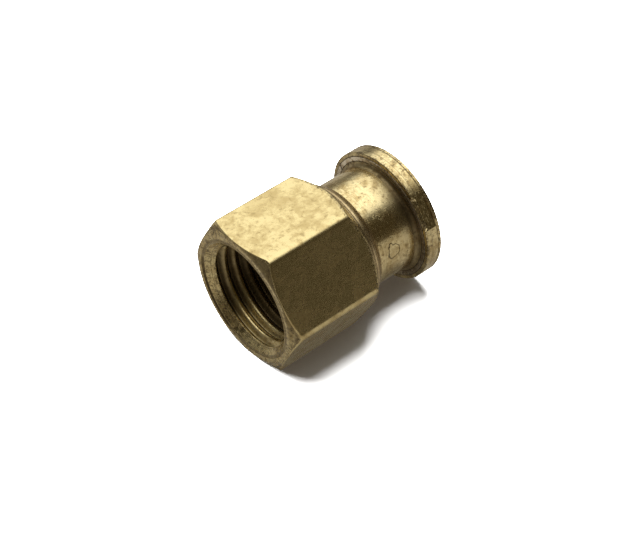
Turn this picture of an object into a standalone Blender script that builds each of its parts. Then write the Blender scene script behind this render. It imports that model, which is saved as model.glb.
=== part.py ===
"""Brass thru-hull fitting, lying on one hex flat.

Run with: blender --background --python part.py

The axis of the fitting is world X. The pipe socket opens towards -X, the flange that stays
outside the hull faces +X, and the origin is on the axis, half way along the fitting.
Every part is drawn upright, with its own +Z along the axis and z = 0 at the mouth of the
socket. One empty then lays them all down.
"""
from math import cos, pi, radians, sin, sqrt, tan

import bmesh
import bpy
from mathutils import Matrix

MM = 0.001

# Driving dimensions. Every z is measured from the mouth of the socket, along the axis.
BAR_FLATS = 15.875 * MM          # 5/8 inch hex bar, across its flats
CORNER_BEVEL = 0.35 * MM         # the bar's drawn corners are slightly round
OVERALL = 21.56 * MM
FIT_GAP = 0.2 * MM               # left between pieces that rest on each other

# Quarter inch pipe thread, 18 to the inch, right hand.
PITCH = 25.4 * MM / 18
THREAD_MAJOR = 6.6 * MM          # radii of the thread cut in the coupling
THREAD_MINOR = 5.85 * MM
THREAD_CLEARANCE = 0.2 * MM      # how much smaller the barrel's thread is, all round
THREAD_FLANK = radians(30)
THREAD_PHASE = radians(51)       # where on the mouth the groove runs out
BARREL_TURNS = 2.25

# Hexagon coupling.
HEX_LENGTH = 12.38 * MM
FRONT_CHAMFER_FROM = 7.81 * MM   # radius of the flat part of the mouth face
FRONT_CHAMFER = radians(30)      # from the face
REAR_CHAMFER_FROM = 7.78 * MM
REAR_CHAMFER = radians(41)
MOUTH_RADIUS = 6.87 * MM         # rim of the countersink, which runs in at 45 degrees
GLAND_RADIUS = 7.25 * MM         # pocket for the O-ring, in the back of the coupling
GLAND_DEPTH = 1.0 * MM

# Flanged barrel.
NECK_RADIUS = 6.35 * MM
WATERWAY_RADIUS = 4.7 * MM
SHANK_START = 6.6 * MM           # end of the barrel, inside the coupling
SHOULDER = 0.2 * MM              # length of the steep step from the thread's root to the neck
SHOULDER_CLEARANCE = 0.1 * MM    # from that step to the coupling, screwed home
TIP_CHAMFER = 0.3 * MM
FLANGE_RADIUS = BAR_FLATS / 2    # the largest round that the bar gives
FLANGE_INNER_Z = 19.55 * MM
FLANGE_BEVEL = 0.06 * MM
RIM_FLAT = 7.67 * MM             # from the axis to the worn flat on the rim
RIM_FLAT_AT = radians(238)
RIM_FLAT_END = 21.12 * MM        # the rim is round again from here to its outer face

# Bearing rings, one for each face of the hull.
RING_BORE = NECK_RADIUS + FIT_GAP
SEAT_RING_LENGTH = 1.45 * MM
SEAT_RING_LAND = 6.85 * MM       # outer radius at its narrow end
SEAT_RING_ROOT = 7.72 * MM       # outer radius next to the hexagon
WASHER_RADIUS = 7.4 * MM
WASHER_THICKNESS = 0.5 * MM
WASHER_Z = 19.5 * MM
WASHER_GAP = 0.1 * MM            # left round the washer and under it

O_RING_WIRE = 0.32 * MM          # radius of the O-ring's section

# How finely round things are drawn.
AROUND = 40
O_RING_SECTION = 10

BAR_CORNER = BAR_FLATS / sqrt(3)  # radius of the bar's corners
BEYOND = 2 * MM                   # how far a cutter reaches past what it cuts
MERGE = 0.00001


def clear_scene():
    for obj in list(bpy.data.objects):
        bpy.data.objects.remove(obj, do_unlink=True)


def new_collection(name):
    collection = bpy.data.collections.new(name)
    bpy.context.scene.collection.children.link(collection)
    return collection


def new_material(name, colour, roughness, metallic):
    material = bpy.data.materials.new(name)
    material.use_nodes = True
    shader = material.node_tree.nodes["Principled BSDF"]
    shader.inputs["Base Color"].default_value = (*colour, 1.0)
    shader.inputs["Roughness"].default_value = roughness
    shader.inputs["Metallic"].default_value = metallic
    return material


def add_object(name, mesh, collection, axis, material=None):
    obj = bpy.data.objects.new(name, mesh)
    collection.objects.link(obj)
    obj.parent = axis
    if material:
        mesh.materials.append(material)
    else:
        obj.hide_render = True
        obj.display_type = "WIRE"
    return obj


def mesh_from(name, build):
    """A mesh of what build(bm) makes."""
    mesh = bpy.data.meshes.new(name)
    bm = bmesh.new()
    build(bm)
    bm.to_mesh(mesh)
    bm.free()
    return mesh


def turned(name, profile, collection, axis, material=None, closed=True, phase=0.0):
    """A turned piece. The profile is (radius, z) points that run down the outer side."""

    def outline(bm):
        points = [bm.verts.new((r * cos(phase), r * sin(phase), z)) for r, z in profile]
        pairs = list(zip(points, points[1:]))
        if closed:
            pairs.append((points[-1], points[0]))
        for pair in pairs:
            bm.edges.new(pair)

    obj = add_object(name, mesh_from(name, outline), collection, axis, material)
    screw = obj.modifiers.new("Turn", "SCREW")
    screw.axis = "Z"
    screw.angle = 2 * pi
    screw.steps = AROUND
    screw.render_steps = AROUND
    screw.use_merge_vertices = True
    screw.merge_threshold = MERGE
    return obj


def hex_bar(name, z_low, z_high, collection, axis, material=None):
    """Hexagonal bar with two of its flats facing up and down once the fitting lies down."""

    def prism(bm):
        made = bmesh.ops.create_cone(
            bm,
            cap_ends=True,
            segments=6,
            radius1=BAR_CORNER,
            radius2=BAR_CORNER,
            depth=z_high - z_low,
        )
        bmesh.ops.translate(bm, verts=made["verts"], vec=(0, 0, (z_high + z_low) / 2))

    obj = add_object(name, mesh_from(name, prism), collection, axis, material)
    bevel = obj.modifiers.new("Round corners", "BEVEL")
    bevel.width = CORNER_BEVEL
    bevel.segments = 2
    bevel.limit_method = "ANGLE"
    bevel.angle_limit = radians(40)
    return obj


def helical_ridge(name, z_start, turns, phase, root, crest, crest_width, collection, axis,
                  fade_turns=0.0):
    """A V-shaped ridge wound round the axis, right hand, as one closed solid.

    It can rise from below its root radius at both ends, over fade_turns.
    """
    steps = round(turns * AROUND)

    def height_share(turn):
        if fade_turns == 0:
            return 1.0
        return max(0.0, min(1.0, turn / fade_turns, (turns - turn) / fade_turns))

    def section(turn):
        angle = phase + 2 * pi * turn
        middle = z_start + PITCH * turn
        tall = (crest - root) * height_share(turn)
        wide = crest_width / 2 + (crest - root) * tan(THREAD_FLANK)
        top = wide - tall * tan(THREAD_FLANK)
        corners = ((root, -wide), (root + tall, -top), (root + tall, top), (root, wide))
        return [(r * cos(angle), r * sin(angle), middle + z) for r, z in corners]

    def wind(bm):
        rings = [[bm.verts.new(p) for p in section(i / AROUND)] for i in range(steps + 1)]
        for near, far in zip(rings, rings[1:]):
            for i in range(4):
                j = (i + 1) % 4
                bm.faces.new((near[i], near[j], far[j], far[i]))
        bm.faces.new(rings[0])
        bm.faces.new(rings[-1])
        bmesh.ops.recalc_face_normals(bm, faces=bm.faces)

    return add_object(name, mesh_from(name, wind), collection, axis)


def boolean(obj, operation, other):
    modifier = obj.modifiers.new(other.name, "BOOLEAN")
    modifier.operation = operation
    modifier.object = other
    modifier.solver = "EXACT"


def build_hex_coupling(parts, cutters, axis, brass):
    """Hexagon with chamfered ends, threaded right through, with a pocket for the O-ring."""
    coupling = hex_bar("hex_coupling", -BEYOND, HEX_LENGTH + BEYOND, parts, axis, brass)

    reach = BAR_CORNER + 1 * MM
    ends = turned(
        "coupling_ends",
        [
            (0, HEX_LENGTH),
            (REAR_CHAMFER_FROM, HEX_LENGTH),
            (reach, HEX_LENGTH - (reach - REAR_CHAMFER_FROM) * tan(REAR_CHAMFER)),
            (reach, (reach - FRONT_CHAMFER_FROM) * tan(FRONT_CHAMFER)),
            (FRONT_CHAMFER_FROM, 0),
            (0, 0),
        ],
        cutters, axis, closed=False, phase=radians(1),
    )
    boolean(coupling, "INTERSECT", ends)

    gland_floor = HEX_LENGTH - GLAND_DEPTH
    bore = turned(
        "coupling_bore",
        [
            (0, HEX_LENGTH + BEYOND),
            (GLAND_RADIUS, HEX_LENGTH + BEYOND),
            (GLAND_RADIUS, gland_floor),
            (THREAD_MINOR, gland_floor),
            (THREAD_MINOR, MOUTH_RADIUS - THREAD_MINOR),
            (MOUTH_RADIUS + BEYOND, -BEYOND),
            (0, -BEYOND),
        ],
        cutters, axis, closed=False, phase=radians(2),
    )
    boolean(coupling, "DIFFERENCE", bore)

    start = -PITCH
    groove = helical_ridge(
        "coupling_thread_groove",
        start,
        (gland_floor + GLAND_DEPTH / 2 - start) / PITCH,
        THREAD_PHASE,
        THREAD_MINOR - 0.15 * MM,
        THREAD_MAJOR,
        PITCH / 8,
        cutters, axis,
    )
    boolean(coupling, "DIFFERENCE", groove)
    return coupling


def build_flanged_barrel(parts, cutters, axis, brass):
    """Flange, neck and threaded shank in one piece, with one worn flat on the flange's rim."""
    root = THREAD_MINOR - THREAD_CLEARANCE
    recess_floor = WASHER_Z + WASHER_THICKNESS + WASHER_GAP
    recess_radius = WASHER_RADIUS + WASHER_GAP
    shank_end = HEX_LENGTH - GLAND_DEPTH + SHOULDER_CLEARANCE
    barrel = turned(
        "flanged_barrel",
        [
            (WATERWAY_RADIUS, OVERALL),
            (FLANGE_RADIUS - FLANGE_BEVEL, OVERALL),
            (FLANGE_RADIUS, OVERALL - FLANGE_BEVEL),
            (FLANGE_RADIUS, FLANGE_INNER_Z + FLANGE_BEVEL),
            (FLANGE_RADIUS - FLANGE_BEVEL, FLANGE_INNER_Z),
            (recess_radius, FLANGE_INNER_Z),
            (recess_radius, recess_floor),
            (NECK_RADIUS, recess_floor),
            (NECK_RADIUS, shank_end + SHOULDER),
            (root, shank_end),
            (root, SHANK_START + TIP_CHAMFER),
            (root - TIP_CHAMFER, SHANK_START),
            (WATERWAY_RADIUS, SHANK_START),
        ],
        parts, axis, brass,
    )

    def block(bm):
        made = bmesh.ops.create_cube(bm, size=1.0)
        bmesh.ops.scale(bm, verts=made["verts"], vec=(BEYOND, 4 * BEYOND, 2 * BEYOND))
        middle = (RIM_FLAT + BEYOND / 2, 0, RIM_FLAT_END - BEYOND)
        bmesh.ops.translate(bm, verts=made["verts"], vec=middle)
        bmesh.ops.rotate(bm, verts=made["verts"], matrix=Matrix.Rotation(RIM_FLAT_AT, 3, "Z"))

    rim_cutter = add_object("rim_flat_cutter", mesh_from("rim_flat_cutter", block), cutters, axis)
    boolean(barrel, "DIFFERENCE", rim_cutter)

    first = SHANK_START + 1.0 * MM
    turns_in = (first + PITCH) / PITCH
    ridge = helical_ridge(
        "barrel_thread",
        first,
        BARREL_TURNS,
        THREAD_PHASE + 2 * pi * turns_in,
        root - 0.15 * MM,
        THREAD_MAJOR - THREAD_CLEARANCE,
        PITCH / 8 - 0.08 * MM,
        cutters, axis, fade_turns=0.25,
    )
    boolean(barrel, "UNION", ridge)
    return barrel


def build_seat_ring(parts, axis, brass):
    """Tapered ring behind the hexagon: it slides on the neck and bears on the hull's inside."""
    low = HEX_LENGTH + FIT_GAP
    high = low + SEAT_RING_LENGTH
    return turned(
        "seat_ring",
        [
            (RING_BORE, high),
            (SEAT_RING_LAND - 0.05 * MM, high),
            (SEAT_RING_LAND, high - 0.1 * MM),
            (SEAT_RING_ROOT, low + 0.15 * MM),
            (SEAT_RING_ROOT - 0.07 * MM, low),
            (RING_BORE, low),
        ],
        parts, axis, brass,
    )


def build_hull_washer(parts, axis, brass):
    """Flat washer let into the hull side of the flange."""
    edge = 0.1 * MM
    high = WASHER_Z + WASHER_THICKNESS
    return turned(
        "hull_washer",
        [
            (RING_BORE, high),
            (WASHER_RADIUS, high),
            (WASHER_RADIUS, WASHER_Z + edge),
            (WASHER_RADIUS - edge, WASHER_Z),
            (RING_BORE + edge, WASHER_Z),
            (RING_BORE, WASHER_Z + edge),
        ],
        parts, axis, brass,
    )


def build_o_ring(parts, axis, rubber):
    """Rubber ring that seals the coupling to the smooth neck."""
    middle = (NECK_RADIUS + GLAND_RADIUS) / 2
    height = HEX_LENGTH - GLAND_DEPTH / 2
    angles = [-2 * pi * i / O_RING_SECTION for i in range(O_RING_SECTION)]
    section = [(middle + O_RING_WIRE * cos(a), height + O_RING_WIRE * sin(a)) for a in angles]
    return turned("barrel_o_ring", section, parts, axis, rubber)


def apply_and_shade(obj):
    """Swaps the object's mesh for what its modifiers make, smooth but for its sharp edges."""
    graph = bpy.context.evaluated_depsgraph_get()
    made = bpy.data.meshes.new_from_object(obj.evaluated_get(graph))
    obj.modifiers.clear()
    obj.data = made
    made.shade_smooth()
    made.set_sharp_from_angle(angle=radians(25))


def main():
    clear_scene()
    parts = new_collection("thru_hull_fitting")
    cutters = new_collection("cutters")

    axis = bpy.data.objects.new("fitting_axis", None)
    parts.objects.link(axis)
    axis.location = (-OVERALL / 2, 0, 0)
    axis.rotation_euler = (0, radians(90), 0)

    brass = new_material("brass", (0.62, 0.45, 0.16), 0.34, 1.0)
    dull_brass = new_material("dull_brass", (0.50, 0.37, 0.17), 0.45, 1.0)
    rubber = new_material("rubber", (0.02, 0.02, 0.02), 0.7, 0.0)

    made = [
        build_hex_coupling(parts, cutters, axis, brass),
        build_flanged_barrel(parts, cutters, axis, brass),
        build_seat_ring(parts, axis, dull_brass),
        build_hull_washer(parts, axis, dull_brass),
        build_o_ring(parts, axis, rubber),
    ]
    bpy.context.view_layer.update()
    for obj in made:
        apply_and_shade(obj)


main()
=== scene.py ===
"""Looks of the brass thru-hull fitting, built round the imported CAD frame.

Every piece is one closed surface: a profile swept round the fitting's axis (world X), whose
radius can change with the angle, so that the hexagon, the threads and the flat on the rim are
part of the mesh.
Lengths in this file are millimetres from the mouth of the socket, until a mesh is made.
"""

from math import cos, hypot, pi, radians, sin, tan

import bpy
import numpy as np
from mathutils import Euler, Matrix, Vector


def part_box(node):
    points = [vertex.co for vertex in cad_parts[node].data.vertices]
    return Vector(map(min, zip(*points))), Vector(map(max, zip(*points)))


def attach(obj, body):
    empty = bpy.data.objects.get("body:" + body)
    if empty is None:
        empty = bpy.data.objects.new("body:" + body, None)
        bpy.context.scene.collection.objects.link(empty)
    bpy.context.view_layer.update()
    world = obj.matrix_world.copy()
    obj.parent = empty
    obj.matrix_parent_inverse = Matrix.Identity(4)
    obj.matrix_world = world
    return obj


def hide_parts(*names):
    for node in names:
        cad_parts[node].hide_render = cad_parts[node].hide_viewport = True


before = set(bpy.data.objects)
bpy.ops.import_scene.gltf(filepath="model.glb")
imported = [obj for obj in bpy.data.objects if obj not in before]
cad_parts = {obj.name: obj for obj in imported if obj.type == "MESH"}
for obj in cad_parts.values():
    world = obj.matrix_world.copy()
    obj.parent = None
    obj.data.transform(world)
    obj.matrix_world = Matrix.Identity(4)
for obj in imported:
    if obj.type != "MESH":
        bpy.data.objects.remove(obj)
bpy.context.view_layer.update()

MM = 0.001
MOUTH = Vector((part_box("hex_coupling")[0].x, 0, 0))


def span(node):
    """Lowest and highest corner of a CAD node, in millimetres from the mouth."""
    low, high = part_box(node)
    return (low - MOUTH) / MM, (high - MOUTH) / MM


# Sizes taken from the frame.
HEX_END = span("hex_coupling")[1].x
HALF_FLATS = span("hex_coupling")[1].z
BARREL_LOW, BARREL_HIGH = span("flanged_barrel")
BARREL_START, BARREL_END, FLANGE_RADIUS = BARREL_LOW.x, BARREL_HIGH.x, BARREL_HIGH.y
RING_END, RING_RADIUS = span("seat_ring")[1].xy
WASHER_START = span("hull_washer")[0].x
WASHER_END, WASHER_RADIUS = span("hull_washer")[1].xy
SEAL_LOW, SEAL_HIGH = span("barrel_o_ring")
SEAL_MIDDLE = (SEAL_LOW.x + SEAL_HIGH.x) / 2
SEAL_WIRE = (SEAL_HIGH.x - SEAL_LOW.x) / 2
SEAL_OUTER = SEAL_HIGH.y

# Sizes that the frame's boxes don't show. Most repeat the CAD model's; the gaps, the fillet and
# the washer's bore are this file's own.
PITCH = 25.4 / 18
THREAD_MAJOR = 6.6
THREAD_MINOR = 5.85
THREAD_CLEARANCE = 0.2
THREAD_PHASE = radians(321)
THREAD_FLANK = tan(radians(30))
MOUTH_RADIUS = 6.87
GLAND_RADIUS = 7.25
GLAND_FLOOR = HEX_END - 1.0
CHAMFER_FROM = 7.81
FRONT_CHAMFER = tan(radians(30))
REAR_CHAMFER = tan(radians(41))
NECK_RADIUS = 6.35
WATERWAY_RADIUS = 4.7
HAIRLINE = 0.02                # between the coupling and the seat ring
RING_GAP = 0.03                # between the neck and the rings that sit on it
FILLET_RADIUS = 0.6
FILLET_TURN = radians(80)
WASHER_BORE = NECK_RADIUS + FILLET_RADIUS * (1 - cos(FILLET_TURN)) + RING_GAP
FLANGE_FACE = 19.55
RIM_FLAT = 7.67                # from the axis to the worn flat on the rim
RIM_FLAT_AT = radians(148)
RIM_FLAT_END = 21.12

# Where the groove round the mouth is widest and deepest, and how far it takes to either side to
# run out to a thin line, both in degrees.
GROOVE_AT, GROOVE_HALF_WIDTH = -25, 42

# Marks on the brass: a loop scratched on the neck, as (x, distance round the neck from +Y), a
# tarnished patch on the top flat, as (x, y), and a short cut in the inner face of the flange,
# as (y, z).
LOOP_MIDDLE, LOOP_SIZE = (16.15, 19.0), (0.85, 0.95)
PATCH_MIDDLE, PATCH_SIZE = (6.2, 3.4), (2.2, 1.6)
CUT_ENDS = (6.45, 4.02), (6.0, 3.13)

# Rounding of the bar's six corners, from the one at +Y round towards +Z.
CORNER_ROUNDING = (0.3, 0.35, 1.0, 0.9, 0.4, 0.3)


# ---------------------------------------------------------------- swept surfaces

def sweep_angles():
    """Angles round the axis, from +Y towards +Z. They are closer together at the six corners and
    at the ends of the rim's flat."""
    even = np.arange(0, 360, 1.0)
    corners = [60 * k + d for k in range(6) for d in np.arange(-3.5, 3.6, 0.35)]
    flat_ends = np.concatenate([np.arange(130, 135, 0.25), np.arange(161, 166, 0.25)])
    every = np.concatenate([even, np.mod(corners, 360), flat_ends])
    return np.radians(np.unique(np.round(every, 3)))


ANGLES = sweep_angles()


def hexagon_radius(half_flats, corner_rounding):
    """Distance from the axis to a hexagon with a flat on top, for each angle."""
    off_flat = np.abs(np.mod(ANGLES, radians(60)) - radians(30))
    nearest = np.round(ANGLES / radians(60)).astype(int) % 6
    corner_round = np.asarray(corner_rounding, float)[nearest]
    inner = half_flats - corner_round
    corner = inner / cos(radians(30))
    flat_reach = np.arctan2(inner * tan(radians(30)), half_flats)
    off_corner = radians(30) - off_flat
    rounded = corner * np.cos(off_corner) + np.sqrt(
        np.maximum(corner_round**2 - (corner * np.sin(off_corner)) ** 2, 0)
    )
    return np.where(off_flat < flat_reach, half_flats / np.cos(off_flat), rounded)


def points_at(x, r):
    """One row of (x, r) for all angles. Either can be a number."""
    return np.stack([np.broadcast_to(x, ANGLES.shape), np.broadcast_to(r, ANGLES.shape)], 1)


def finish_at(worked, painted_shade_and_dirt):
    """How far a row is machined, and its dirt and painted shade, for all angles. Either can be a
    number.
    """
    return np.stack([np.broadcast_to(worked, ANGLES.shape), np.broadcast_to(painted_shade_and_dirt, ANGLES.shape)])


def hump(middle, half_width):
    """1 at one angle in degrees, falling to 0 half_width to either side."""
    off = np.mod(ANGLES - radians(middle) + pi, 2 * pi) - pi
    return np.clip(1 - (off / radians(half_width)) ** 2, 0, 1)


class Profile:
    """A path of rows (x, r), one value for each angle, with rounded corners."""

    def __init__(self):
        self.corners = []

    def corner(self, x, r, rounding=0.0, arc=3, steps=1, worked=1.0, painted_shade_and_dirt=0.0):
        """The next corner. arc divides its rounding, and steps the straight run up to it."""
        self.corners.append((points_at(x, r), rounding, arc, steps, finish_at(worked, painted_shade_and_dirt)))

    def run(self, rows, worked=1.0, painted_shade_and_dirt=0.0):
        """Rows added as they are."""
        for row in rows:
            self.corners.append((row, 0.0, 0, 1, finish_at(worked, painted_shade_and_dirt)))
        return self

    def rows(self):
        """All rows of the closed path, and for each its machining, dirt and painted shade."""
        found, finishes = [], []
        count = len(self.corners)
        for i, (here, rounding, arc, steps, finish) in enumerate(self.corners):
            before = self.corners[i - 1][0]
            after = self.corners[(i + 1) % count][0]
            to_before, to_after = before - here, after - here
            len_before = np.linalg.norm(to_before, axis=1, keepdims=True) + 1e-9
            len_after = np.linalg.norm(to_after, axis=1, keepdims=True) + 1e-9
            cut = np.minimum(rounding, 0.45 * np.minimum(len_before, len_after))
            start = here + to_before / len_before * cut
            end = here + to_after / len_after * cut
            if found and steps > 1:
                last = found[-1]
                for k in range(1, steps):
                    found.append(last + (start - last) * k / steps)
                    finishes.append(finish)
            if rounding == 0:
                found.append(here)
                finishes.append(finish)
                continue
            for k in range(arc + 1):
                t = k / arc
                found.append((1 - t) ** 2 * start + 2 * t * (1 - t) * here + t**2 * end)
                finishes.append(finish)
        return np.array(found), np.array(finishes)


def sweep(name, profile, material, body, replaces):
    """Makes the closed surface of a profile, and hangs it on its CAD body."""
    rows, finishes = profile.rows()
    count, around = rows.shape[:2]
    x, r = rows[:, :, 0], rows[:, :, 1]
    points = np.stack([x * MM + MOUTH.x, r * MM * np.cos(ANGLES), r * MM * np.sin(ANGLES)], 2)
    row, col = np.meshgrid(np.arange(count), np.arange(around), indexing="ij")
    next_row, next_col = (row + 1) % count, (col + 1) % around
    faces = np.stack(
        [row * around + col, next_row * around + col,
         next_row * around + next_col, row * around + next_col], 2,
    ).reshape(-1, 4)

    mesh = bpy.data.meshes.new(name)
    mesh.from_pydata(points.reshape(-1, 3).tolist(), [], faces.tolist())
    length = np.concatenate([[0], np.cumsum(np.linalg.norm(np.diff(rows.mean(1), axis=0), axis=1))])
    add_attribute(mesh, "run", np.repeat(length, around))
    add_attribute(mesh, "worked", finishes[:, 0].ravel())
    add_attribute(mesh, "painted_shade_and_dirt", finishes[:, 1].ravel())
    mesh.materials.append(material)
    mesh.shade_smooth()
    obj = bpy.data.objects.new(name, mesh)
    bpy.context.scene.collection.objects.link(obj)
    make_faces_point_out(mesh)
    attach(obj, body)
    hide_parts(replaces)


def add_attribute(mesh, name, values):
    attribute = mesh.attributes.new(name, "FLOAT", "POINT")
    attribute.data.foreach_set("value", np.ascontiguousarray(values, np.float32))


def make_faces_point_out(mesh):
    """Turns the faces round if the closed mesh has a negative volume."""
    corners = np.empty(len(mesh.vertices) * 3, np.float32)
    mesh.vertices.foreach_get("co", corners)
    corners = corners.reshape(-1, 3).astype(float)
    mesh.calc_loop_triangles()
    index = np.empty(len(mesh.loop_triangles) * 3, np.int32)
    mesh.loop_triangles.foreach_get("vertices", index)
    a, b, c = (corners[index.reshape(-1, 3)[:, k]] for k in range(3))
    if np.einsum("ij,ij->i", a, np.cross(b, c)).sum() < 0:
        mesh.flip_normals()


def soft_ramp(t, soft=0.45):
    """0 below 0 and 1 above 1, with rounded ends."""
    return 0.5 * (np.sqrt(t**2 + soft**2) - np.sqrt((t - 1) ** 2 + soft**2) + 1)


def soft_max(a, b, soft=0.05):
    """The larger of two values, with a rounded crossing."""
    return 0.5 * (a + b + np.sqrt((a - b) ** 2 + soft**2))


def depth_of_thread(x):
    """1 at the bottom of the coupling's groove and 0 on its crest, for all angles at one x."""
    middle = -PITCH + PITCH * (ANGLES - THREAD_PHASE) / (2 * pi)
    away = np.abs(np.mod(x - middle + PITCH / 2, PITCH) - PITCH / 2)
    flank = (THREAD_MAJOR - THREAD_MINOR) * THREAD_FLANK
    return soft_ramp((PITCH / 16 + flank - away) / flank)


def coupling_profile():
    hexagon = hexagon_radius(HALF_FLATS, CORNER_ROUNDING)
    rear_edge = HEX_END - (hexagon - CHAMFER_FROM) * REAR_CHAMFER
    front_edge = (hexagon - CHAMFER_FROM) * FRONT_CHAMFER
    profile = Profile()
    profile.corner(HEX_END, GLAND_RADIUS, 0.06)
    profile.corner(HEX_END, CHAMFER_FROM, 0.06, 4, 4)
    profile.corner(rear_edge, hexagon, 0.12, 5, 4)
    profile.corner(front_edge, hexagon, 0.14, 5, 40, worked=0.0)
    # Painted shade on the front chamfer, darkest at 135 degrees round and gone 62 degrees to either
    # side.
    profile.corner(0, CHAMFER_FROM, 0.15, 5, 6, painted_shade_and_dirt=0.75 * hump(135, 62))
    crescent = np.sqrt(hump(GROOVE_AT, GROOVE_HALF_WIDTH))
    # Darker in the groove round the mouth, most where it is widest and deepest.
    darker_in_groove = 0.5 + 0.5 * crescent
    profile.corner(0, MOUTH_RADIUS + 0.40 + 0.15 * crescent, 0.04, 3, 5, worked=0.45)
    profile.corner(0.04 + 0.16 * crescent, MOUTH_RADIUS + 0.36, 0.02, 2, 2, painted_shade_and_dirt=darker_in_groove)
    profile.corner(0.05 + 0.30 * crescent, MOUTH_RADIUS + 0.14, 0.04, 3, 3, painted_shade_and_dirt=darker_in_groove)
    profile.corner(0.03 + 0.20 * crescent, MOUTH_RADIUS + 0.06, 0.02, 2, 2,
                   painted_shade_and_dirt=0.4 + 0.6 * crescent)
    profile.corner(0.02 + 0.14 * crescent, MOUTH_RADIUS, 0.02, 2, 2, worked=0.4)

    def thread_radius(x):
        return THREAD_MINOR + (THREAD_MAJOR - THREAD_MINOR) * depth_of_thread(x)

    def bore_row(x):
        return points_at(x, soft_max(thread_radius(x), MOUTH_RADIUS - x))

    # Rows are close together in the socket, where the thread is seen.
    fine = np.arange(0.08, BARREL_START + 0.5, 0.04)
    coarse = np.arange(fine[-1] + 0.1, GLAND_FLOOR - 0.03, 0.1)
    funnel = fine[fine < MOUTH_RADIUS - THREAD_MINOR]
    thread = np.concatenate([fine[len(funnel):], coarse])
    profile.run([bore_row(x) for x in funnel], worked=0.4)
    # The thread is painted with shade: in its groove, down one side, and deep in the bore.
    shade_from, shade_at = 3.0, 3.8
    for x in thread:
        deep_shade = min(max((x - shade_from) / (shade_at - shade_from), 0), 1)
        groove = depth_of_thread(x)
        shaded_side_of_bore = 0.55 * hump(-18, 46) + 0.6 * hump(-30, 85) * groove
        painted_shade_and_dirt = np.clip(0.3 * groove + shaded_side_of_bore, deep_shade, 1)
        profile.run([bore_row(x)], worked=0.0, painted_shade_and_dirt=painted_shade_and_dirt)
    profile.corner(GLAND_FLOOR, thread_radius(GLAND_FLOOR))
    profile.corner(GLAND_FLOOR, GLAND_RADIUS, 0.06, 2, 3)
    return profile


def barrel_profile():
    along_flat = np.maximum(np.cos(ANGLES - RIM_FLAT_AT), 0.5)
    rim = np.minimum(FLANGE_RADIUS, RIM_FLAT / along_flat)
    # The rim's near edge steps back where the flat is.
    near_edge = FLANGE_FACE + 0.4 * np.clip((FLANGE_RADIUS - rim) / 0.08, 0, 1)
    root = THREAD_MINOR - THREAD_CLEARANCE
    rise = THREAD_MAJOR - THREAD_MINOR
    thread_start, thread_end = BARREL_START + 0.3, GLAND_FLOOR + 0.06
    recess_floor = WASHER_END + 0.12
    recess_radius = WASHER_RADIUS + 0.04

    def shank_row(x):
        fade = min(1, (x - thread_start) / PITCH, (thread_end - x) / (PITCH / 2))
        depth = depth_of_thread(x)
        return points_at(x, root + rise * max(fade, 0) * np.clip(depth * 1.15 - 0.15, 0, 1))

    profile = Profile()
    profile.corner(BARREL_START, WATERWAY_RADIUS, 0.1)
    profile.corner(BARREL_START, root - 0.3, 0.06, 3, 3)
    profile.run([shank_row(x) for x in np.arange(thread_start, thread_end, 0.1)], painted_shade_and_dirt=0.6)
    profile.corner(thread_end + 0.2, NECK_RADIUS, 0.06, 3, 2)
    # The neck is painted with shade on one side, over the last stretch before the fillet.
    fillet_start = WASHER_START - FILLET_RADIUS * sin(FILLET_TURN)
    shaded_side = hump(130, 44)
    reach = 2.2
    profile.corner(fillet_start - reach, NECK_RADIUS, 0, 0, 40, worked=0.22)
    for share in np.linspace(0.1, 1.0, 10):
        profile.corner(fillet_start - reach * (1 - share), NECK_RADIUS, 0, 0, 2, worked=0.22,
                       painted_shade_and_dirt=0.9 * share * shaded_side)
    # Painted shade in the fillet, darkest on the shaded side, and in the recess that holds the
    # washer.
    for turn in np.linspace(0, FILLET_TURN, 15)[1:]:
        profile.corner(fillet_start + FILLET_RADIUS * sin(turn),
                       NECK_RADIUS + FILLET_RADIUS * (1 - cos(turn)), worked=0.5,
                       painted_shade_and_dirt=0.55 + 0.45 * hump(130, 70))
    profile.corner(recess_floor, NECK_RADIUS + 0.1, 0, 0, 3, painted_shade_and_dirt=1.0)
    profile.corner(recess_floor, recess_radius, 0.05, 2, 2, painted_shade_and_dirt=1.0)
    profile.corner(FLANGE_FACE, recess_radius, 0.04, 3, 2, painted_shade_and_dirt=0.6)
    profile.corner(near_edge, rim - 0.09, 0.03, 3, 3, painted_shade_and_dirt=0.1)
    profile.corner(near_edge + 0.08, rim, 0.05, 4, 1, worked=0.7)
    profile.corner(RIM_FLAT_END - 0.05, rim, 0.02, 3, 12, worked=0.27)
    # A painted shade line along the step between the rim's flat and its round band.
    profile.corner(RIM_FLAT_END - 0.01, rim - 0.05, 0.01, 2, 1, painted_shade_and_dirt=0.8)
    profile.corner(RIM_FLAT_END + 0.05, FLANGE_RADIUS - 0.05, 0.01, 2, 1, painted_shade_and_dirt=0.6)
    profile.corner(RIM_FLAT_END + 0.08, FLANGE_RADIUS, 0.03, 3, 1)
    profile.corner(BARREL_END - 0.05, FLANGE_RADIUS, 0.03, 3, 4)
    profile.corner(BARREL_END, FLANGE_RADIUS - 0.05, 0.02, 3, 1)
    profile.corner(BARREL_END, WATERWAY_RADIUS + 0.25, 0.06, 4, 20)
    profile.corner(BARREL_END - 0.25, WATERWAY_RADIUS, 0.06, 4, 2)
    return profile


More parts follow.
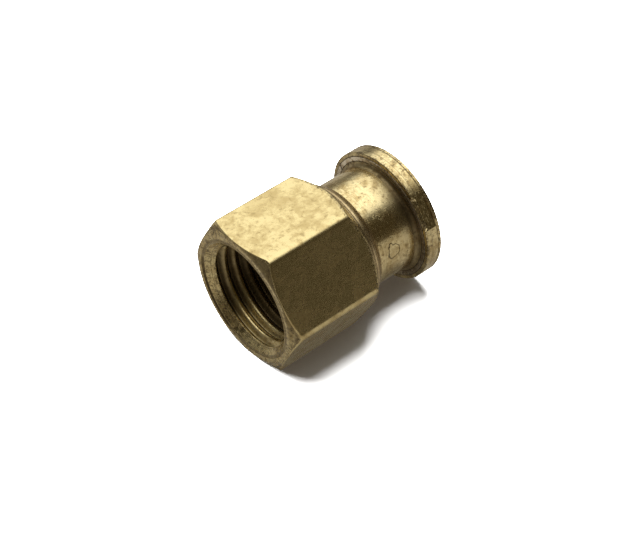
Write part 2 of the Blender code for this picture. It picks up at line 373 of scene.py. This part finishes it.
def seat_ring_profile():
    start = HEX_END + HAIRLINE
    bore = NECK_RADIUS + RING_GAP
    profile = Profile()
    profile.corner(start, bore, 0.03)
    profile.corner(start, RING_RADIUS - 0.17, 0.04, 3, 4)
    # Nearly level runs with a sharp drop between them, painted with shade at the foot of each drop.
    for x, r, painted_shade_and_dirt in ((0.26, 7.50, 0.0), (0.31, 7.30, 0.9), (0.44, 7.29, 0.8), (0.50, 7.28, 0.0),
                       (0.72, 7.26, 0.0), (0.77, 7.06, 0.9), (0.90, 7.05, 0.8), (0.96, 7.04, 0.1),
                       (1.20, 6.85, 0.1)):
        profile.corner(HEX_END + x, r, 0.02, 2, 1, worked=0.2, painted_shade_and_dirt=painted_shade_and_dirt)
    profile.corner(RING_END - 0.10, NECK_RADIUS + 0.26, 0.08, 5, 3, worked=0.3)
    # Painted shade in the corner where the ring's end meets the neck.
    profile.corner(RING_END, NECK_RADIUS + 0.17, 0.05, 3, 2, painted_shade_and_dirt=0.4)
    profile.corner(RING_END, bore, 0.02, 3, 2, painted_shade_and_dirt=0.9)
    return profile


def washer_profile():
    # Painted light and shade: lighter, with less grime, on the lit side, darker on the other.
    lit_side, shaded_side = hump(50, 48), hump(160, 90)
    profile = Profile()
    profile.corner(WASHER_START, WASHER_BORE, 0.05, 4, painted_shade_and_dirt=0.35 + 0.45 * shaded_side)
    profile.corner(WASHER_START, WASHER_RADIUS, 0.07, 5, 8, worked=1 - 0.9 * lit_side,
                   painted_shade_and_dirt=0.3 * (1 - lit_side) + 0.4 * shaded_side)
    profile.corner(WASHER_END + 0.1, WASHER_RADIUS, 0.03, 3, 3)
    profile.corner(WASHER_END + 0.1, WASHER_BORE, 0.03, 3, 3)
    return profile


def seal_profile():
    middle = SEAL_OUTER - SEAL_WIRE
    turns = np.linspace(0, 2 * pi, 24, endpoint=False)
    rows = [points_at(SEAL_MIDDLE + SEAL_WIRE * cos(t), middle + SEAL_WIRE * sin(t)) for t in turns]
    return Profile().run(rows)


# ---------------------------------------------------------------- materials

GRIME_AND_PAINTED_SHADE = (0.075, 0.047, 0.021)
OXIDE = (0.34, 0.27, 0.17)


class Graph:
    """Adds shader nodes to one tree. A socket passed as an input is linked, a value is set."""

    def __init__(self, tree):
        self.tree = tree

    def link(self, value, node, name):
        self.tree.links.new(value, node.inputs[name])

    def set_input(self, socket, value):
        if isinstance(value, bpy.types.NodeSocket):
            self.tree.links.new(value, socket)
        else:
            socket.default_value = value

    def add(self, kind, settings=None, **inputs):
        """A node's first output. An input is given by name, or by number as _0, _1 and so on."""
        node = self.tree.nodes.new(kind)
        for name, value in (settings or {}).items():
            setattr(node, name, value)
        for name, value in inputs.items():
            key = int(name[1:]) if name[0] == "_" else name.replace("_", " ")
            self.set_input(node.inputs[key], value)
        return node.outputs[0]

    def source(self, kind, output):
        """A named output of a node that has no inputs."""
        return self.tree.nodes.new(kind).outputs[output]

    def math(self, operation, a, b=0.0):
        return self.add("ShaderNodeMath", {"operation": operation}, _0=a, _1=b)

    def product(self, first, *others):
        for other in others:
            first = self.math("MULTIPLY", first, other)
        return first

    def total(self, first, *others):
        for other in others:
            first = self.math("ADD", first, other)
        return first

    def largest(self, first, *others):
        for other in others:
            first = self.math("MAXIMUM", first, other)
        return first

    def xyz(self, vector):
        node = self.tree.nodes.new("ShaderNodeSeparateXYZ")
        self.link(vector, node, "Vector")
        return node.outputs

    def ellipse(self, u, v, middle, size):
        """Distance of (u, v) from the middle, where 1 is the edge of an ellipse of that size."""
        u = self.math("DIVIDE", self.math("SUBTRACT", u, middle[0]), size[0])
        v = self.math("DIVIDE", self.math("SUBTRACT", v, middle[1]), size[1])
        return self.math("SQRT", self.total(self.product(u, u), self.product(v, v)))

    def mix(self, share, a, b):
        """A blend of two colours."""
        node = self.tree.nodes.new("ShaderNodeMix")
        node.data_type = "RGBA"
        for index, value in ((0, share), (6, a), (7, b)):
            self.set_input(node.inputs[index], (*value, 1.0) if isinstance(value, tuple) else value)
        return node.outputs[2]

    def step(self, value, low, high, out_low=0.0, out_high=1.0):
        """A smooth step from out_low to out_high."""
        return self.add(
            "ShaderNodeMapRange", {"interpolation_type": "SMOOTHSTEP"},
            Value=value, From_Min=low, From_Max=high, To_Min=out_low, To_Max=out_high,
        )

    def noise(self, vector, scale, detail=3.0, roughness=0.55, distortion=0.0):
        return self.add(
            "ShaderNodeTexNoise", None,
            Vector=vector, Scale=scale, Detail=detail, Roughness=roughness, Distortion=distortion,
        )

    def lines(self, value, scale, detail=2.0):
        """Noise along one coordinate only."""
        return self.add("ShaderNodeTexNoise", {"noise_dimensions": "1D"}, W=value, Scale=scale,
                        Detail=detail)

    def from_mouth(self):
        """Where a point is, in millimetres, with the socket's mouth at x = 0."""
        place = self.source("ShaderNodeTexCoord", "Object")
        moved = self.add("ShaderNodeVectorMath", {"operation": "SUBTRACT"}, _0=place, _1=MOUTH)
        return self.add("ShaderNodeVectorMath", {"operation": "SCALE"}, _0=moved, Scale=1 / MM)

    def scratches(self, millimetres):
        """1 inside the looped scratch on the neck and the short cut in the flange's inner face."""
        x, y, z = self.xyz(millimetres)
        around = self.product(self.math("ARCTAN2", z, y), NECK_RADIUS)
        noise = self.noise(millimetres, 1.2, 1.0)
        wobble = self.product(self.math("SUBTRACT", noise, 0.5), 1.6)
        out = self.ellipse(x, around, LOOP_MIDDLE, LOOP_SIZE)
        off = self.math("ABSOLUTE", self.math("SUBTRACT", self.total(out, wobble), 1.0))
        loop = self.step(off, 0.03, 0.12, 0.8, 0.0)

        (y1, z1), (y2, z2) = CUT_ENDS
        length = hypot(y2 - y1, z2 - z1)
        along_y, along_z = (y2 - y1) / length, (z2 - z1) / length
        from_y, from_z = self.math("SUBTRACT", y, y1), self.math("SUBTRACT", z, z1)
        along = self.total(self.product(from_y, along_y), self.product(from_z, along_z))
        aside = self.math("SUBTRACT", self.product(from_z, along_y), self.product(from_y, along_z))
        cut = self.step(self.math("ABSOLUTE", aside), 0.07, 0.13, 1.0, 0.0)
        near_end = self.step(along, 0.0, 0.08)
        far_end = self.step(along, length, length - 0.08)
        on_flange = self.math("GREATER_THAN", x, WASHER_START - 0.1)
        cut = self.product(cut, self.product(near_end, far_end, on_flange))
        return self.math("MAXIMUM", loop, cut)

    def tarnish(self, millimetres, ragged):
        """1 inside a tarnished patch on the hexagon's top flat, whose edge is ragged."""
        x, y, z = self.xyz(millimetres)
        out = self.ellipse(x, y, PATCH_MIDDLE, PATCH_SIZE)
        out = self.total(out, self.product(self.math("SUBTRACT", ragged, 0.5), 0.6))
        on_top = self.math("GREATER_THAN", z, HALF_FLATS - 0.1)
        return self.product(self.step(out, 0.92, 1.0, 1.0, 0.0), on_top)

    def attribute(self, name):
        """One of the values that sweep() gives each point of a mesh."""
        node = self.tree.nodes.new("ShaderNodeAttribute")
        node.attribute_name = name
        return node.outputs["Fac"]


def new_material(name):
    """A material, its shader and a Graph that adds to it."""
    material = bpy.data.materials.new(name)
    material.use_nodes = True
    return material, material.node_tree.nodes["Principled BSDF"], Graph(material.node_tree)


def brass(name, bright, dull, stain, roughness, stained, lines_depth, dents, tarnished=0.0):
    """Brass: bright where it is clean, browner in patches, with drawn or turned lines.

    bright, dull and stain are colours. lines_depth and dents are heights in millimetres. stained
    and tarnished are how strongly the stains and the top flat's patch cover the brass.
    """
    material, shader, graph = new_material(name)
    millimetres = graph.from_mouth()
    worked = graph.attribute("worked")
    painted_shade_and_dirt = graph.attribute("painted_shade_and_dirt")
    run = graph.attribute("run")

    clouds = graph.noise(millimetres, 0.45, 4.0, 0.6, 0.6)
    blots = graph.noise(millimetres, 1.7, 5.0, 0.62, 0.4)
    grain = graph.noise(millimetres, 6.0, 3.0, 0.6)
    turned_lines = graph.lines(run, 11.0)
    scratch = graph.scratches(millimetres)
    rubbed = graph.step(worked, 0.08, 0.42)

    # Stains: wide dull patches, spots, specks, dulled lines and light oxide.
    patchy = graph.step(graph.total(clouds, graph.product(blots, 0.7)), 0.70, 1.04)
    colour = graph.mix(patchy, bright, dull)
    if tarnished:
        patch = graph.product(graph.tarnish(millimetres, blots), tarnished)
        colour = graph.mix(patch, colour, dull)
    spots = graph.step(blots, 0.56, 0.70, 0.0, stained)
    colour = graph.mix(spots, colour, stain)
    specks = graph.step(graph.noise(millimetres, 4.2, 2.0), 0.66, 0.76, 0.0, 0.7)
    colour = graph.mix(specks, colour, stain)
    dulled = graph.product(worked, graph.step(turned_lines, 0.35, 0.65, 0.0, 0.5))
    colour = graph.mix(dulled, colour, dull)
    oxide = graph.step(graph.noise(millimetres, 1.5, 6.0, 0.75, 0.8), 0.46, 0.60, 0.0, 0.6)
    colour = graph.mix(graph.product(oxide, worked), colour, OXIDE)

    # Grime in pits, turned grooves, blotches of machined faces and scratches, and painted shade.
    pits = graph.step(graph.noise(millimetres, 3.4, 5.0, 0.75), 0.56, 0.64, 0.0, 0.85)
    grooves = graph.step(graph.lines(run, 5.5, 3.0), 0.60, 0.66, 0.0, 0.6)
    blotches = graph.step(graph.noise(millimetres, 2.2, 5.0, 0.7, 0.5), 0.50, 0.58, 0.0, 0.6)
    grime_and_painted_shade = graph.largest(
        graph.product(graph.largest(pits, grooves), rubbed),
        graph.product(blotches, rubbed, rubbed),
        # Painted shade in corners, recesses and on shaded sides, with some dirt, set row by row.
        graph.product(painted_shade_and_dirt, 0.9),
        scratch,
    )
    graph.link(graph.mix(grime_and_painted_shade, colour, GRIME_AND_PAINTED_SHADE), shader, "Base Color")

    rough = graph.total(
        graph.step(patchy, 0.0, 1.0, roughness, roughness + 0.10),
        graph.product(worked, 0.05),
        graph.product(painted_shade_and_dirt, 0.22),
        graph.product(spots, 0.12),
        graph.product(graph.math("SUBTRACT", grain, 0.5), 0.15),
    )
    graph.link(rough, shader, "Roughness")
    shader.inputs["Metallic"].default_value = 1.0

    height = graph.total(
        graph.product(turned_lines, worked, lines_depth),
        graph.product(blots, dents),
        graph.product(grain, dents * 0.35),
        graph.product(scratch, -0.02),
        graph.product(pits, rubbed, -0.016),
    )
    bump = graph.add("ShaderNodeBump", None, Strength=1.0, Distance=MM, Height=height)
    graph.link(bump, shader, "Normal")
    return material


def rubber():
    material, shader, graph = new_material("seal_rubber")
    mottle = graph.noise(graph.source("ShaderNodeTexCoord", "Object"), 900.0, 3.0)
    colour = graph.mix(mottle, (0.012, 0.012, 0.012), (0.03, 0.03, 0.03))
    graph.link(colour, shader, "Base Color")
    graph.link(graph.step(mottle, 0.3, 0.7, 0.55, 0.75), shader, "Roughness")
    return material


# ---------------------------------------------------------------- studio

# The ceiling panel's brightness, and the colours of the room on the camera's side and beyond.
SOFTBOX = 1.35
NEAR_ROOM = (0.055, 0.045, 0.028)
FAR_ROOM = (0.20, 0.19, 0.17)
WHITE = (1.0, 1.0, 1.0)

# The table's own colour and its glow, each as the brass reflects it and as the camera sees it.
TABLE_COLOURS = (0.023, 0.022, 0.021), (0.40, 0.40, 0.40)
TABLE_GLOWS = (0.135, 0.121, 0.097), (0.05, 0.042, 0.034)
TABLE_HALF_WIDTH = 3.0         # metres

KEY_ENERGY = 42.0
KEY_WIDTH = radians(60)
KEY_TILT = radians(-18)


def build_world():
    """A bright panel over and behind the fitting, in a dark room. The camera sees plain white."""
    world = bpy.data.worlds.new("studio")
    bpy.context.scene.world = world
    world.use_nodes = True
    graph = Graph(world.node_tree)
    x, y, z = graph.xyz(graph.source("ShaderNodeTexCoord", "Generated"))
    up = graph.math("MAXIMUM", z, 0.02)
    across = graph.math("DIVIDE", y, up)
    along = graph.math("DIVIDE", x, up)
    near_edge = graph.step(across, -0.80, -0.12)
    far_edge = graph.step(across, 3.0, 0.7)
    left_edge = graph.step(along, -1.1, -0.4)
    right_edge = graph.step(along, 2.2, 1.3)
    panel = graph.product(near_edge, far_edge, left_edge, right_edge)
    room = graph.mix(graph.step(y, 0.15, 0.75), NEAR_ROOM, FAR_ROOM)
    colour = graph.mix(panel, room, (SOFTBOX, SOFTBOX * 0.99, SOFTBOX * 0.95))
    seen = graph.source("ShaderNodeLightPath", "Is Camera Ray")
    graph.link(graph.mix(seen, colour, WHITE), world.node_tree.nodes["Background"], "Color")


def build_floor():
    """White table. It looks brighter to the camera than to the brass that reflects it."""
    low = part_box("hex_coupling")[0].z
    near, far = -TABLE_HALF_WIDTH, TABLE_HALF_WIDTH
    corners = [(near, near, low), (far, near, low), (far, far, low), (near, far, low)]
    mesh = bpy.data.meshes.new("floor")
    mesh.from_pydata(corners, [], [(0, 1, 2, 3)])
    floor = bpy.data.objects.new("floor", mesh)
    bpy.context.scene.collection.objects.link(floor)

    material, shader, graph = new_material("white_table")
    seen = graph.source("ShaderNodeLightPath", "Is Camera Ray")
    colour = graph.mix(seen, *TABLE_COLOURS)
    diffuse = graph.add("ShaderNodeBsdfDiffuse", None, Color=colour)
    glow = graph.add("ShaderNodeEmission", None, Color=graph.mix(seen, *TABLE_GLOWS))
    both = graph.add("ShaderNodeAddShader", None, _0=diffuse, _1=glow)
    graph.tree.nodes.remove(shader)
    graph.link(both, graph.tree.nodes["Material Output"], "Surface")
    mesh.materials.append(material)


def build_key():
    """A broad, slightly tilted sun. It lights the table, and the brass doesn't mirror it."""
    lamp = bpy.data.lights.new("key", "SUN")
    lamp.energy = KEY_ENERGY
    lamp.angle = KEY_WIDTH
    key = bpy.data.objects.new("key", lamp)
    key.rotation_euler = (KEY_TILT, 0, 0)
    key.visible_glossy = False
    bpy.context.scene.collection.objects.link(key)


# The camera's place and lens, from a fit to the hexagon's corners, the neck and the flange.
CAMERA_AIM = (7.82, -3.68, 2.01)
CAMERA_DISTANCE = 177.3
CAMERA_AZIMUTH = radians(-37.34)
CAMERA_ELEVATION = radians(42.04)
CAMERA_ROLL = radians(-4.59)
SENSOR_WIDTH = 36
CAMERA_LENS = SENSOR_WIDTH * 2.6


def build_camera():
    data = bpy.data.cameras.new("camera")
    data.lens = CAMERA_LENS
    data.sensor_width = SENSOR_WIDTH
    data.clip_start = 0.01
    camera = bpy.data.objects.new("camera", data)
    bpy.context.scene.collection.objects.link(camera)
    turn = Euler((pi / 2 - CAMERA_ELEVATION, 0, CAMERA_AZIMUTH), "XYZ").to_matrix()
    back = turn @ Vector((0, 0, 1))
    place = MOUTH + (Vector(CAMERA_AIM) + back * CAMERA_DISTANCE) * MM
    turn = turn @ Matrix.Rotation(CAMERA_ROLL, 3, "Z")
    camera.matrix_world = Matrix.Translation(place) @ turn.to_4x4()
    bpy.context.scene.camera = camera


bar_brass = brass(
    "bar_brass", bright=(0.82, 0.68, 0.35), dull=(0.62, 0.48, 0.22), stain=(0.30, 0.22, 0.10),
    roughness=0.22, stained=0.40, lines_depth=0.008, dents=0.014, tarnished=0.45)
turned_brass = brass(
    "turned_brass", bright=(0.98, 0.82, 0.45), dull=(0.60, 0.45, 0.20), stain=(0.26, 0.18, 0.09),
    roughness=0.13, stained=0.65, lines_depth=0.006, dents=0.016)
# A paler, lighter copy of ring_brass, painting the washer's bright reflection of the table.
washer_brass_painted_bright = brass(
    "washer_brass_painted_bright", bright=(0.98, 0.88, 0.68), dull=(0.60, 0.48, 0.30), stain=(0.28, 0.21, 0.12),
    roughness=0.26, stained=0.6, lines_depth=0.010, dents=0.012)
ring_brass = brass(
    "ring_brass", bright=(0.76, 0.60, 0.33), dull=(0.54, 0.41, 0.22), stain=(0.28, 0.21, 0.12),
    roughness=0.26, stained=0.6, lines_depth=0.010, dents=0.012)

sweep("hexagon_coupling", coupling_profile(), bar_brass,
      body="coupling", replaces="hex_coupling")
sweep("barrel_with_flange", barrel_profile(), turned_brass,
      body="barrel", replaces="flanged_barrel")
sweep("tapered_seat_ring", seat_ring_profile(), ring_brass,
      body="ring", replaces="seat_ring")
sweep("flange_washer", washer_profile(), washer_brass_painted_bright,
      body="barrel", replaces="hull_washer")
sweep("neck_seal", seal_profile(), rubber(),
      body="ring", replaces="barrel_o_ring")

build_world()
build_floor()
build_key()
build_camera()
bpy.context.scene.view_settings.view_transform = "Standard"
